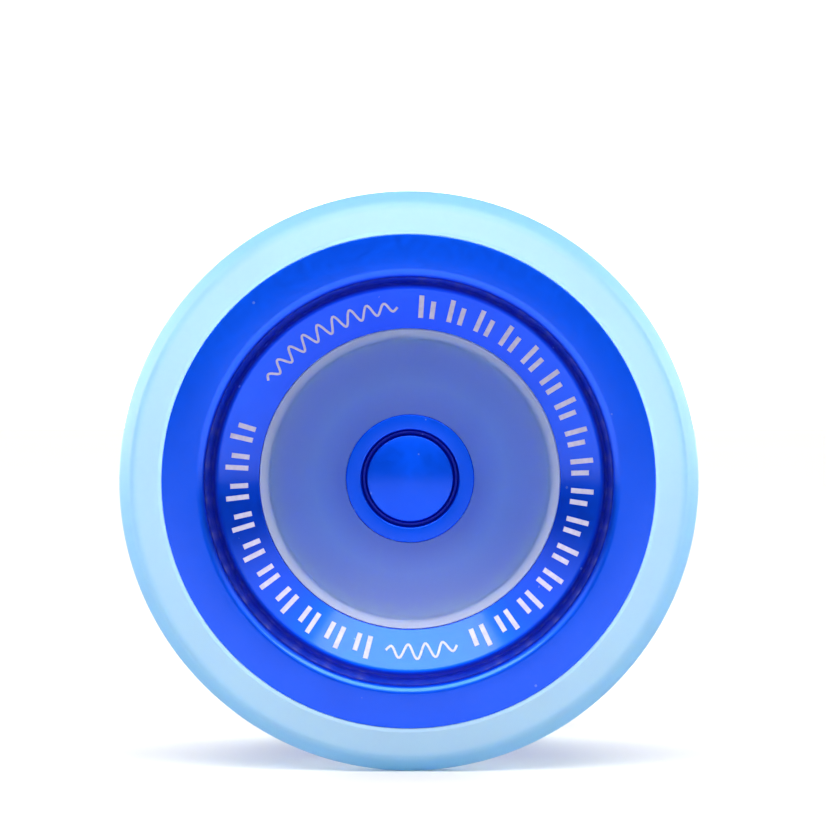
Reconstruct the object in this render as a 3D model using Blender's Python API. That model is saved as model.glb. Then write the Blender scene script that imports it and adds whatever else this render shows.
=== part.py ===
"""Unresponsive ball-bearing yo-yo, standing on its two rims with its axle along Y.

The front half faces -Y and the rear half +Y. Each half is a frosted polycarbonate shell with a
turned aluminium weight ring in its cup, clamped between an aluminium core, which carries the
bearing seat and the response pad, and a hub cap screwed onto the core's stem. The halves screw
onto one M4 axle and hold a quarter-inch ball bearing between them. Run with
blender --background --python part.py
"""

import math

import bmesh
import bpy
from mathutils import Matrix, Vector

MM = 0.001

# Driving dimensions, in millimetres. Depths are measured from the middle plane outwards.
DIAMETER = 56.0
WIDTH = 45.0
STRING_GAP = 4.4
FIT = 0.06  # the clearance between neighbouring pieces
RUNNING_FIT = 0.05  # the clearance round a piece that turns

RIM_RADIUS = DIAMETER / 2
RIM_FACE = WIDTH / 2
GAP_FACE = STRING_GAP / 2

# Weight ring: a rim block and a sloping dish that carries the tick marks. Points are (radius, depth).
RING_RADIUS = 23.8
RING_FACE = RIM_FACE - 0.25
RING_WALL_RADIUS = 19.65
RING_WALL_FOOT = (19.4, 15.3)
DISH_EDGE = (14.87, 12.2)
DISH_THICKNESS = 1.5
RING_BACK = 16.0

# Shell
FACE_BAND_INNER = 24.15
FACE_BAND_OUTER = 26.7
RIM_SIDE = (20.9, 19.2)
CUP_FLOOR_EDGE = (13.77, 10.8)
CATCH_ZONE_START = 14.7
CATCH_ZONE_BEND = (18.4, 8.4)
CATCH_ZONE_END = (27.2, 18.1)

# Hub cap, flush with the cup's floor
HUB_FACE = 9.5
HUB_RADIUS = 6.36
HUB_FLANGE = 1.5
HUB_BARREL_RADIUS = 4.3
HUB_BARREL_END = 6.0
HUB_GROOVE = (4.3, 4.86)
HUB_GROOVE_DEPTH = 0.8
DOME_HEIGHT = 0.25

# Core: a plate and its boss with the bearing seat, the pad groove and the threaded stem
CORE_PLATE_BACK = 3.5
SKIRT_LENGTH = 6.2
SKIRT_THICKNESS = 1.0
BOSS_RADIUS = 11.2
CORE_BACK = 4.5
STEM_RADIUS = 3.0
STEM_END = 8.2
POST_RADIUS = 3.125
POST_END = 0.25
AXLE_BORE_RADIUS = 2.05
AXLE_BORE_END = 6.4
BEARING_SHOULDER_RADIUS = 4.05
BEARING_RECESS_RADIUS = 6.62
BEARING_RECESS_FLOOR = 2.65

# Response pad, 19 mm across
PAD_INNER = 7.15
PAD_OUTER = 9.5
PAD_THICKNESS = 1.0

# Axle: an M4 x 12 set screw
AXLE_LENGTH = 12.0
THREAD_RADIUS = 2.0
THREAD_PITCH = 0.7
THREAD_DEPTH = 0.38
SOCKET_ACROSS_FLATS = 2.0
SOCKET_DEPTH = 2.5

# Bearing, C size: 6.35 x 12.70 x 4.762 mm with ten balls
BEARING_BORE = 3.175
BEARING_RADIUS = 6.35
BEARING_HALF_WIDTH = 2.381
INNER_RING_RADIUS = 4.1
OUTER_RING_BORE = 5.4
STRING_GROOVE_DEPTH = 0.2
STRING_GROOVE_HALF_WIDTH = 1.7
BALL_COUNT = 10
BALL_RADIUS = 0.992
PITCH_RADIUS = (BEARING_BORE + BEARING_RADIUS) / 2
RACE_RADIUS = 1.04
CAGE_INNER = 4.35
CAGE_OUTER = 5.15
CAGE_HALF_WIDTH = 1.3
SHIELD_SEAT_RADIUS = 5.86
SHIELD_SEAT = 1.92
SHIELD_INNER = 4.25
SHIELD_OUTER = 5.78
SHIELD_THICKNESS = 0.14
SNAP_RING_WIRE = 0.11
SNAP_RING_OPENING = math.radians(34)

SEGMENTS = 32
RACE_SEGMENTS = 30
THREAD_SEGMENTS = 12
ARC_STEP = math.radians(46)

# One Principled material each: colour, roughness, metallic
FINISHES = {
    "frosted_polycarbonate": ((0.50, 0.76, 1.00), 0.45, 0.0),
    "blue_anodised_aluminium": ((0.01, 0.08, 0.80), 0.36, 1.0),
    "white_silicone": ((0.86, 0.87, 0.86), 0.65, 0.0),
    "bearing_steel": ((0.62, 0.63, 0.64), 0.18, 1.0),
    "cage_nylon": ((0.78, 0.72, 0.58), 0.5, 0.0),
    "axle_steel": ((0.20, 0.20, 0.21), 0.35, 1.0),
}


def clear_scene():
    for obj in list(bpy.data.objects):
        bpy.data.objects.remove(obj)


def material(name):
    found = bpy.data.materials.get(name)
    if found:
        return found
    colour, roughness, metallic = FINISHES[name]
    made = bpy.data.materials.new(name)
    made.use_nodes = True
    shader = made.node_tree.nodes["Principled BSDF"]
    shader.inputs["Base Color"].default_value = (*colour, 1.0)
    shader.inputs["Roughness"].default_value = roughness
    shader.inputs["Metallic"].default_value = metallic
    made.diffuse_color = (*colour, 1.0)
    return made


def link(name, bm, finish):
    """Turns a bmesh in millimetres into a named object in metres."""
    bmesh.ops.scale(bm, vec=(MM, MM, MM), verts=bm.verts)
    bmesh.ops.recalc_face_normals(bm, faces=bm.faces)
    mesh = bpy.data.meshes.new(name)
    bm.to_mesh(mesh)
    bm.free()
    mesh.shade_smooth()
    mesh.set_sharp_from_angle(angle=math.radians(30))
    obj = bpy.data.objects.new(name, mesh)
    bpy.context.scene.collection.objects.link(obj)
    if finish:
        mesh.materials.append(material(finish))
    return obj


def rounded(corners):
    """An outline from (radius, depth) corners; a third number rounds the corner off by that radius."""
    points = []
    for index, corner in enumerate(corners):
        here = Vector(corner[:2])
        if len(corner) == 2:
            points.append(here)
            continue
        before = (Vector(corners[index - 1][:2]) - here).normalized()
        after = (Vector(corners[(index + 1) % len(corners)][:2]) - here).normalized()
        half = before.angle(after) / 2
        centre = here + (before + after).normalized() * corner[2] / math.sin(half)
        start = here + before * corner[2] / math.tan(half) - centre
        end = here + after * corner[2] / math.tan(half) - centre
        turn = start.angle_signed(end)
        steps = max(1, math.ceil(abs(turn) / ARC_STEP))
        for step in range(steps + 1):
            angle = -turn * step / steps
            points.append(centre + Matrix.Rotation(angle, 2) @ start)
    return points


def arc(centre, radius, start_deg, end_deg, steps):
    """Points on a circle about centre, where 0 degrees is outwards and 90 degrees is deeper."""
    points = []
    for step in range(steps + 1):
        angle = math.radians(start_deg + (end_deg - start_deg) * step / steps)
        points.append((centre[0] + radius * math.cos(angle), centre[1] + radius * math.sin(angle)))
    return points


def turned_bmesh(points, side=1, segments=SEGMENTS):
    """An outline of (radius, depth) spun about Y. It is closed, or it starts and ends on the axis.

    The middles of the flats lie on the true radius, and one flat faces straight down.
    """
    bm = bmesh.new()
    reach = 1 / math.cos(math.pi / segments)
    verts = [bm.verts.new((radius * reach, side * depth, 0)) for radius, depth in points]
    edges = [bm.edges.new(pair) for pair in zip(verts, verts[1:])]
    if points[0][0] > 0:
        edges.append(bm.edges.new((verts[-1], verts[0])))
    turn = Matrix.Rotation(math.pi / segments, 3, "Y")
    bmesh.ops.rotate(bm, verts=verts, cent=(0, 0, 0), matrix=turn)
    bmesh.ops.spin(
        bm, geom=verts + edges, cent=(0, 0, 0), axis=(0, 1, 0), dvec=(0, 0, 0),
        angle=2 * math.pi, steps=segments, use_merge=True, use_duplicate=False,
    )
    bmesh.ops.remove_doubles(bm, verts=bm.verts, dist=1e-4)
    return bm


def turned(name, finish, points, side=1, segments=SEGMENTS):
    return link(name, turned_bmesh(points, side, segments), finish)


def cut(obj, cutter, operation="DIFFERENCE"):
    cutter.hide_render = True
    cutter.display_type = "WIRE"
    boolean = obj.modifiers.new(operation.title(), "BOOLEAN")
    boolean.operation = operation
    boolean.object = cutter
    boolean.solver = "EXACT"


def cup_floor():
    """Points across the shell's shallow dish, from the hub cap's edge to the foot of the lip."""
    start, end = (HUB_RADIUS + FIT, HUB_FACE), CUP_FLOOR_EDGE
    points = []
    for share in (0, 0.45, 0.75):
        radius = start[0] + share * (end[0] - start[0])
        points.append((radius, start[1] + share**2 * (end[1] - start[1])))
    return points


def dish_back(clearance=0):
    """The back of the weight ring's dish, or the shell's seat for it with a clearance."""
    back = DISH_THICKNESS + 2 * clearance
    return [
        (DISH_EDGE[0] - clearance, DISH_EDGE[1] - back),
        (RING_WALL_FOOT[0] + 0.3, RING_WALL_FOOT[1] - back + 0.2),
    ]


def skirt(gap=0.0):
    """Tip, back edge and root of the core's skirt, or of the shell's seat for it with a gap."""
    foot = Vector((CATCH_ZONE_START, GAP_FACE))
    along = (Vector(CATCH_ZONE_BEND) - foot).normalized()
    back = foot + Vector((-along.y, along.x)) * (SKIRT_THICKNESS + gap)
    reach = SKIRT_LENGTH + gap
    root = back + along * ((CORE_PLATE_BACK + gap - back.y) / along.y)
    return [foot + along * reach, back + along * reach, root]


def shell(name, side):
    """The polycarbonate body: rim, catch zone, cup and the seats for the ring, the core and the cap."""
    barrel_hole = HUB_BARREL_RADIUS + FIT
    flange_seat = HUB_FACE - HUB_FLANGE - FIT
    outline = rounded([
        (FACE_BAND_INNER, RIM_FACE),
        (FACE_BAND_OUTER, RIM_FACE, 0.7),
        (RIM_RADIUS, RIM_SIDE[0], 0.6),
        (RIM_RADIUS, RIM_SIDE[1], 0.4),
        (*CATCH_ZONE_END, 1.5),
        (*CATCH_ZONE_BEND, 6.0),
        *skirt(FIT),
        (BOSS_RADIUS + FIT, CORE_PLATE_BACK + FIT),
        (BOSS_RADIUS + FIT, CORE_BACK + FIT),
        (barrel_hole, CORE_BACK + FIT),
        (barrel_hole, flange_seat),
        (HUB_RADIUS + FIT, flange_seat),
        *cup_floor(),
        (*CUP_FLOOR_EDGE, 0.5),
        (DISH_EDGE[0] - FIT, DISH_EDGE[1] - 0.05),
        *dish_back(FIT),
        (RING_RADIUS + FIT, RING_BACK - 2 * FIT),
        (RING_RADIUS + FIT, RING_FACE),
    ])
    return turned(name, "frosted_polycarbonate", outline, side)


def weight_ring(name, side):
    """The aluminium ring pressed into the shell's cup."""
    outline = rounded([
        (RING_RADIUS, RING_FACE, 0.12),
        (RING_WALL_RADIUS, RING_FACE, 0.9),
        (*RING_WALL_FOOT, 2.0),
        DISH_EDGE,
        *dish_back(),
        (RING_RADIUS, RING_BACK, 0.4),
    ])
    return turned(name, "blue_anodised_aluminium", outline, side)


def hub_cap(name, side):
    """The flanged nut that clamps the shell to the core, with a grooved face and a low dome."""
    groove_floor = HUB_FACE - HUB_GROOVE_DEPTH
    bore = STEM_RADIUS + FIT
    outline = [
        (0.0, HUB_FACE + DOME_HEIGHT),
        (HUB_GROOVE[0] * 0.4, HUB_FACE + DOME_HEIGHT * 0.85),
        (HUB_GROOVE[0] * 0.75, HUB_FACE + DOME_HEIGHT * 0.45),
        (HUB_GROOVE[0], HUB_FACE - 0.05),
        (HUB_GROOVE[0] + 0.08, groove_floor),
        (HUB_GROOVE[1] - 0.08, groove_floor),
        (HUB_GROOVE[1], HUB_FACE),
        (HUB_RADIUS, HUB_FACE),
        (HUB_RADIUS, HUB_FACE - HUB_FLANGE),
        (HUB_BARREL_RADIUS, HUB_FACE - HUB_FLANGE),
        (HUB_BARREL_RADIUS, HUB_BARREL_END),
        (bore, HUB_BARREL_END),
        (bore, STEM_END + FIT),
        (0.0, STEM_END + FIT),
    ]
    return turned(name, "blue_anodised_aluminium", outline, side)


def core(name, side):
    """The dished plate on the gap side: bearing post and recess, pad groove, skirt and hub cap stem."""
    groove_floor = GAP_FACE + PAD_THICKNESS + FIT
    before, after = (PAD_OUTER + FIT, GAP_FACE), skirt()[0]
    foot = rounded([before, (CATCH_ZONE_START, GAP_FACE, 1.5), after])[1:-1]
    outline = [
        (AXLE_BORE_RADIUS, POST_END),
        (POST_RADIUS - 0.2, POST_END),
        (POST_RADIUS, POST_END + 0.2),
        (POST_RADIUS, BEARING_HALF_WIDTH + RUNNING_FIT),
        (BEARING_SHOULDER_RADIUS, BEARING_HALF_WIDTH + RUNNING_FIT),
        (BEARING_SHOULDER_RADIUS, BEARING_RECESS_FLOOR),
        (BEARING_RECESS_RADIUS, BEARING_RECESS_FLOOR),
        (BEARING_RECESS_RADIUS, GAP_FACE),
        (PAD_INNER - FIT, GAP_FACE),
        (PAD_INNER - FIT, groove_floor),
        (PAD_OUTER + FIT, groove_floor),
        (PAD_OUTER + FIT, GAP_FACE),
        *foot,
        *skirt(),
        (BOSS_RADIUS, CORE_PLATE_BACK),
        (BOSS_RADIUS, CORE_BACK),
        (STEM_RADIUS, CORE_BACK),
        (STEM_RADIUS, STEM_END),
        (0.0, STEM_END),
        (0.0, AXLE_BORE_END),
        (AXLE_BORE_RADIUS, AXLE_BORE_END),
    ]
    # The outline starts and ends on the axis, so it begins at the bore's blind end.
    start = outline.index((0.0, AXLE_BORE_END))
    opened = outline[start:] + outline[:start]
    return turned(name, "blue_anodised_aluminium", opened, side)


def response_pad(name, side):
    face = GAP_FACE + RUNNING_FIT
    outline = [
        (PAD_OUTER, face),
        (PAD_OUTER, GAP_FACE + PAD_THICKNESS),
        (PAD_INNER, GAP_FACE + PAD_THICKNESS),
        (PAD_INNER, face),
    ]
    return turned(name, "white_silicone", outline, side)


def bearing_inner_ring(name):
    race = arc((PITCH_RADIUS, 0), RACE_RADIUS, 130, 230, 4)
    race = [point for point in race if point[0] < INNER_RING_RADIUS]
    outline = [
        (BEARING_BORE, BEARING_HALF_WIDTH),
        (INNER_RING_RADIUS, BEARING_HALF_WIDTH),
        (INNER_RING_RADIUS, race_edge(INNER_RING_RADIUS)),
        *race,
        (INNER_RING_RADIUS, -race_edge(INNER_RING_RADIUS)),
        (INNER_RING_RADIUS, -BEARING_HALF_WIDTH),
        (BEARING_BORE, -BEARING_HALF_WIDTH),
    ]
    return turned(name, "bearing_steel", outline, segments=RACE_SEGMENTS)


def race_edge(radius):
    """How far from the middle plane a ball track meets the ring's plain surface at this radius."""
    return math.sqrt(RACE_RADIUS**2 - (PITCH_RADIUS - radius) ** 2)


def bearing_outer_ring(name):
    """The ring that the string loops round, with a shallow groove that keeps the string central."""
    track = arc((PITCH_RADIUS, 0), RACE_RADIUS + 0.02, -45, 45, 4)
    edge = race_edge(OUTER_RING_BORE)
    middle = BEARING_RADIUS - STRING_GROOVE_DEPTH
    outline = [
        (BEARING_RADIUS, BEARING_HALF_WIDTH),
        (BEARING_RADIUS, STRING_GROOVE_HALF_WIDTH),
        (middle, STRING_GROOVE_HALF_WIDTH * 0.45),
        (middle, -STRING_GROOVE_HALF_WIDTH * 0.45),
        (BEARING_RADIUS, -STRING_GROOVE_HALF_WIDTH),
        (BEARING_RADIUS, -BEARING_HALF_WIDTH),
        (SHIELD_SEAT_RADIUS, -BEARING_HALF_WIDTH),
        (SHIELD_SEAT_RADIUS, -SHIELD_SEAT),
        (OUTER_RING_BORE, -SHIELD_SEAT),
        (OUTER_RING_BORE, -edge),
        *[point for point in track if point[0] > OUTER_RING_BORE],
        (OUTER_RING_BORE, edge),
        (OUTER_RING_BORE, SHIELD_SEAT),
        (SHIELD_SEAT_RADIUS, SHIELD_SEAT),
        (SHIELD_SEAT_RADIUS, BEARING_HALF_WIDTH),
    ]
    return turned(name, "bearing_steel", outline, segments=RACE_SEGMENTS)


def ball_angles():
    return [2 * math.pi * index / BALL_COUNT for index in range(BALL_COUNT)]


def ball_mesh():
    bm = bmesh.new()
    bmesh.ops.create_icosphere(bm, subdivisions=2, radius=BALL_RADIUS)
    obj = link("ball", bm, "bearing_steel")
    mesh = obj.data
    bpy.data.objects.remove(obj)
    return mesh


def bearing_balls():
    mesh = ball_mesh()
    for index, angle in enumerate(ball_angles()):
        ball = bpy.data.objects.new(f"bearing_ball_{index + 1:02d}", mesh)
        ball.location = Vector((math.sin(angle), 0, math.cos(angle))) * PITCH_RADIUS * MM
        bpy.context.scene.collection.objects.link(ball)


def bearing_cage(name):
    """A band between the races with a round pocket for each ball."""
    outline = [
        (CAGE_INNER, CAGE_HALF_WIDTH),
        (CAGE_OUTER, CAGE_HALF_WIDTH),
        (CAGE_OUTER, -CAGE_HALF_WIDTH),
        (CAGE_INNER, -CAGE_HALF_WIDTH),
    ]
    cage = turned(name, "cage_nylon", outline, segments=RACE_SEGMENTS)
    pocket_radius = BALL_RADIUS + 1.3 * RUNNING_FIT
    bm = bmesh.new()
    for angle in ball_angles():
        placed = Matrix.Rotation(angle, 4, "Y") @ Matrix.Translation((0, 0, PITCH_RADIUS))
        bmesh.ops.create_cone(
            bm, cap_ends=True, segments=16, radius1=pocket_radius, radius2=pocket_radius,
            depth=2.0, matrix=placed,
        )
    cut(cage, link("cage_pocket_cutters", bm, None))


def shield(name, side):
    outline = [
        (SHIELD_INNER, SHIELD_SEAT + 0.02),
        (SHIELD_OUTER, SHIELD_SEAT + 0.02),
        (SHIELD_OUTER, SHIELD_SEAT + 0.02 + SHIELD_THICKNESS),
        (SHIELD_INNER, SHIELD_SEAT + 0.02 + SHIELD_THICKNESS),
    ]
    return turned(name, "bearing_steel", outline, side)


def snap_ring(name, side):
    """The open wire ring that holds a shield in its seat."""
    depth = SHIELD_SEAT + SHIELD_THICKNESS + SNAP_RING_WIRE + RUNNING_FIT
    radius = SHIELD_SEAT_RADIUS - SNAP_RING_WIRE - RUNNING_FIT
    bm = bmesh.new()
    corners = [(-1, -1), (1, -1), (1, 1), (-1, 1)]
    section = [
        bm.verts.new((radius + x * SNAP_RING_WIRE, side * depth + y * SNAP_RING_WIRE, 0))
        for x, y in corners
    ]
    face = bm.faces.new(section)
    bmesh.ops.rotate(
        bm, verts=section, cent=(0, 0, 0), matrix=Matrix.Rotation(SNAP_RING_OPENING / 2, 3, "Y")
    )
    bmesh.ops.spin(
        bm, geom=[face], cent=(0, 0, 0), axis=(0, 1, 0), dvec=(0, 0, 0),
        angle=2 * math.pi - SNAP_RING_OPENING, steps=28, use_duplicate=False,
    )
    return link(name, bm, "bearing_steel")


def thread_bmesh():
    """A right-hand thread, one turn longer than the axle at each end, closed by a fan at each end."""
    bm = bmesh.new()
    first = -AXLE_LENGTH / 2 - THREAD_PITCH
    steps = math.ceil((AXLE_LENGTH / THREAD_PITCH + 3) * THREAD_SEGMENTS)

    def on_helix(radius, step, lead):
        angle = 2 * math.pi * step / THREAD_SEGMENTS
        along = first + THREAD_PITCH * (step / THREAD_SEGMENTS + lead)
        return bm.verts.new((radius * math.sin(angle), along, radius * math.cos(angle)))

    last = steps - THREAD_SEGMENTS
    roots = [on_helix(THREAD_RADIUS - THREAD_DEPTH, step, -0.5) for step in range(steps + 1)]
    crests = [on_helix(THREAD_RADIUS, step, 0) for step in range(last + 1)]
    for step in range(last):
        after = step + 1
        bm.faces.new((roots[step], roots[after], crests[after], crests[step]))
        bm.faces.new((
            crests[step], crests[after], roots[after + THREAD_SEGMENTS], roots[step + THREAD_SEGMENTS]
        ))
    for turn, crest in ((roots[:THREAD_SEGMENTS + 1], crests[0]), (roots[last:], crests[last])):
        loop = [*turn, crest]
        apex = bm.verts.new((0, sum(v.co.y for v in turn) / len(turn), 0))
        for index, vert in enumerate(loop):
            bm.faces.new((vert, loop[(index + 1) % len(loop)], apex))
    return bm


def axle(name):
    """An M4 set screw with a hexagon socket in each end."""
    rod = link(name, thread_bmesh(), "axle_steel")
    end = AXLE_LENGTH / 2
    outline = [
        (0, -end),
        (THREAD_RADIUS - 0.55, -end),
        (THREAD_RADIUS + 0.3, -end + 0.85),
        (THREAD_RADIUS + 0.3, end - 0.85),
        (THREAD_RADIUS - 0.55, end),
        (0, end),
    ]
    cut(rod, turned("axle_envelope", None, outline), "INTERSECT")
    sockets = bmesh.new()
    across_corners = SOCKET_ACROSS_FLATS / math.cos(math.pi / 6)
    for side in (-1, 1):
        along = Matrix.Translation((0, side * end, 0)) @ Matrix.Rotation(math.pi / 2, 4, "X")
        bmesh.ops.create_cone(
            sockets, cap_ends=True, segments=6, radius1=across_corners / 2,
            radius2=across_corners / 2, depth=2 * SOCKET_DEPTH, matrix=along,
        )
    cut(rod, link("axle_socket_cutters", sockets, None))


def half(prefix, side):
    shell(f"{prefix}_shell", side)
    weight_ring(f"{prefix}_weight_ring", side)
    hub_cap(f"{prefix}_hub_cap", side)
    core(f"{prefix}_core", side)
    response_pad(f"{prefix}_response_pad", side)
    shield(f"{prefix}_bearing_shield", side)
    snap_ring(f"{prefix}_snap_ring", side)


def main():
    clear_scene()
    half("front", -1)
    half("rear", 1)
    axle("axle")
    bearing_inner_ring("bearing_inner_ring")
    bearing_outer_ring("bearing_outer_ring")
    bearing_cage("bearing_cage")
    bearing_balls()


main()
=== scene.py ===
import math

import bmesh
import bpy
from mathutils import Matrix, Vector

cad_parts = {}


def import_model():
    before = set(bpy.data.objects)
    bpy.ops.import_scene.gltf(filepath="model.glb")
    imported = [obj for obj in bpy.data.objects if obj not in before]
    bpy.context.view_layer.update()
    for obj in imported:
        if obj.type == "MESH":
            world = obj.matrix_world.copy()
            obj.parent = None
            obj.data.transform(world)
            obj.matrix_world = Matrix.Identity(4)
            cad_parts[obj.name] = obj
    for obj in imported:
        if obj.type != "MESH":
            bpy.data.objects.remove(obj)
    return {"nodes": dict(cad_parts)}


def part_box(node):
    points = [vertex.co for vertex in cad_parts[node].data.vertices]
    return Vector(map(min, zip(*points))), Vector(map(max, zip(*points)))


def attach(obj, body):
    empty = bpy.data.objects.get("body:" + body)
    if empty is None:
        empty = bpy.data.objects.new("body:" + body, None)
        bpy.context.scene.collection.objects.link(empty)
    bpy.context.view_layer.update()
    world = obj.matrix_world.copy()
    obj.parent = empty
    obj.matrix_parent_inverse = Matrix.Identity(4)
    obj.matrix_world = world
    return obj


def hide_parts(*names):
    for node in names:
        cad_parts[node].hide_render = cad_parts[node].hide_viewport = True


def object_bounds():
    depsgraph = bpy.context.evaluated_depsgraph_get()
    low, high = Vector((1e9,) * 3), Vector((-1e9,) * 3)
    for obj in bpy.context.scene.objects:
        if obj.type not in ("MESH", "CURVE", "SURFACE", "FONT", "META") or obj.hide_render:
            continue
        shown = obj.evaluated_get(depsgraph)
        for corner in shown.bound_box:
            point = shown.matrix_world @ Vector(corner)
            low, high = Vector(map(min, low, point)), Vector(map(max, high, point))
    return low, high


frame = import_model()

MM = 0.001
CAD_BOX = [list(corner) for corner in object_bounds()]

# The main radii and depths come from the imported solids; depths are measured from the middle plane.
SHELL_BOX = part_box("rear_shell")
RING_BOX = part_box("rear_weight_ring")
HUB_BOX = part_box("rear_hub_cap")
PAD_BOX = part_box("rear_response_pad")
RIM_RADIUS = SHELL_BOX[1][2] / MM
RIM_FACE = SHELL_BOX[1][1] / MM
RING_RADIUS = RING_BOX[1][2] / MM
RING_FACE = RING_BOX[1][1] / MM
DISH_BACK = RING_BOX[0][1] / MM
HUB_RADIUS = HUB_BOX[1][2] / MM

# Lengths are in millimetres and angles in radians, unless a comment says otherwise.
# Pressed pieces keep FIT between them, moving ones RUNNING_FIT. A ROUND is a corner's radius.
FIT = 0.06
RUNNING_FIT = 0.05
GAP_FACE = PAD_BOX[0][1] / MM - RUNNING_FIT

# How fine the turned surfaces are
FINE_ARC = math.radians(7)
SEGMENTS = 256
SHIELD_SEGMENTS = 96
OUTER_RING_SEGMENTS = 160
INNER_RING_SEGMENTS = 128
SHARP_ANGLE = math.radians(28)
ON_AXIS = 1e-6

# Weight ring
RING_WALL_RADIUS = 19.65
RING_WALL_FOOT = (19.4, 15.3)
DISH_THICKNESS = 1.5
DISH_EDGE = (14.87, DISH_BACK + DISH_THICKNESS)
DISH_BACK_CORNER = (0.3, 0.2)
RING_BACK = 16.0
RING_EDGE_ROUND = 0.1
RING_SHOULDER_ROUND = 0.9
RING_FOOT_ROUND = 2.0
RING_BACK_ROUND = 0.4
DISH_EDGE_ROUND = 0.04

# Shell
FACE_BAND_INNER = 24.15
FACE_BAND_OUTER = 26.7
RIM_SIDE = (20.9, 19.2)
CUP_FLOOR_EDGE = (13.77, 10.8)
CUP_FLOOR_STEPS = 16
CUP_LIP_DROP = 0.05
CATCH_ZONE_START = 14.7
CATCH_ZONE_BEND = (18.4, 8.4)
CATCH_ZONE_END = (27.2, 18.1)
FACE_INNER_ROUND = 0.22
FACE_OUTER_ROUND = 0.9
RIM_SIDE_ROUNDS = (0.8, 0.6)
CUP_FOOT_ROUND = 0.8
CUP_LIP_ROUND = 0.08
CATCH_ZONE_START_ROUND = 1.5
CATCH_ZONE_BEND_ROUND = 8.0
CATCH_ZONE_END_ROUND = 1.8

# Hub cap
HUB_FACE = 9.5
HUB_FLANGE = 1.5
HUB_BARREL_RADIUS = 4.3
HUB_BARREL_END = 6.0
HUB_GROOVE = (4.3, 4.86)
HUB_GROOVE_DEPTH = 0.8
HUB_GROOVE_LIP = 0.04
HUB_GROOVE_FOOT = 0.1
HUB_GROOVE_LIP_ROUND = 0.12
HUB_GROOVE_FOOT_ROUND = 0.16
HUB_EDGE_ROUND = 0.09
DOME_HEIGHT = 0.25
DOME_EDGE_DROP = 0.05
DOME_STEPS = 14

# Core
CORE_PLATE_BACK = 3.5
SKIRT_LENGTH = 6.2
SKIRT_THICKNESS = 1.0
BOSS_RADIUS = 11.2
CORE_BACK = 4.5
STEM_RADIUS = 3.0
STEM_END = 8.2
POST_RADIUS = 3.125
POST_END = 0.25
AXLE_BORE_RADIUS = 2.05
AXLE_BORE_END = 6.4
BEARING_SHOULDER = (4.05, 2.43)
BEARING_RECESS = (6.62, 2.65)
PAD = (7.15, 9.5)
PAD_THICKNESS = 1.0
POST_ROUND = 0.2
BOSS_ROUND = 0.3
BEARING_RECESS_ROUNDS = (0.1, 0.08)
PAD_SEAT_ROUND = 0.06
PAD_ROUND = 0.15

# Axle and bearing
AXLE_LENGTH = 12.0
THREAD_RADIUS = 2.0
THREAD_PITCH = 0.7
THREAD_DEPTH = 0.38
THREAD_END_TAPER = 0.55
THREAD_STEEPNESS = 1.25
THREAD_ROOT_FLAT = 0.12
SOCKET_ACROSS_FLATS = 2.0
SOCKET_DEPTH = 2.5
SOCKET_TIP = 0.3
SOCKET_TIP_RADIUS = 0.35
BEARING_BORE = 3.175
BEARING_RADIUS = 6.35
BEARING_HALF_WIDTH = 2.381
INNER_RING_RADIUS = 4.1
OUTER_RING_BORE = 5.4
PITCH_RADIUS = 4.7625
BALL_RADIUS = 0.992
BALL_COUNT = 10
BALL_SEGMENTS = (40, 24)
RACE_RADIUS = 1.04
RACE_STEPS = 16
INNER_RACE_DEGREES = (130, 230)
OUTER_RACE_DEGREES = (-45, 45)
OUTER_RACE_CLEARANCE = 0.02
STRING_GROOVE_DEPTH = 0.2
STRING_GROOVE_HALF_WIDTH = 1.7
STRING_GROOVE_HALF_STEPS = 8
SHIELD_SEAT = (5.86, 1.92)
SHIELD = (4.25, 5.78)
SHIELD_THICKNESS = 0.14
SHIELD_BACK_GAP = 0.02
SHIELD_STEP = (4.6, 4.75)
SHIELD_STEP_DEPTH = 0.03
BEARING_BORE_ROUND = 0.12
INNER_RING_ROUND = 0.08
OUTER_RING_ROUND = 0.1
SHIELD_ROUND = 0.04
SHIELD_STEP_ROUND = 0.3
SNAP_RING_WIRE = 0.11
SNAP_RING_OPENING = math.radians(34)

# Tick marks on the weight ring's dish: pairs of a long and a short mark, clockwise from the top
MARK_PITCH = math.radians(10)
MARK_FIRST = math.radians(3.9)
MARK_PAIR_GAP = math.radians(3.9)
MARK_RUNS = ((0, 16), (19, 29))
MARK_WIDTH = 0.48
MARK_INNER = 15.93
MARK_LONG_OUTER = 18.1
MARK_SHORT_OUTER = 17.62
MARK_STEPS = 4
MARK_HEIGHT = 0.015

# Wavy lines between the runs of tick marks: (start angle, end angle, number of waves)
WAVES = ((math.radians(305), math.radians(356), 9), (math.radians(164), math.radians(188), 4))
WAVE_RADIUS = 16.95
WAVE_HEIGHT = 0.72
WAVE_TAPER = 0.3
WAVE_STROKE = 0.23
STEPS_PER_WAVE = 14

# Blue metal: each look is (colour, anisotropy, roughness, coat). Between the two radii of a corner
# the blue is painted darker: painted shade in the ring's foot and in the hub cap's groove.
RING_LOOK = ((0.0004, 0.084, 0.89), 0.15, 0.36, 0.4)
HUB_LOOK = ((0.0005, 0.076, 0.82), 0.25, 0.40, 0.2)
CORE_LOOK = ((0.0006, 0.085, 0.95), 0.45, 0.32, 0.15)
RING_PAINTED_SHADE_RADII = (18.95, 19.75)
HUB_PAINTED_SHADE_RADII = (4.3, 4.8)
CORNER_PAINTED_SHADE = (0.0, 0.013, 0.36)
PAINTED_SHADE_SOFTNESS = (0.15, 0.05)
METAL_COAT_ROUGHNESS = 0.12
METAL_COAT_IOR = 1.65
RADIAL_GRAIN = 0.25
PALER_BLUE = (2.0, 1.15, 1.08)
ROUGHNESS_DRIFT = (-0.03, 0.04)
TURNING_PITCH = 0.12

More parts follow.
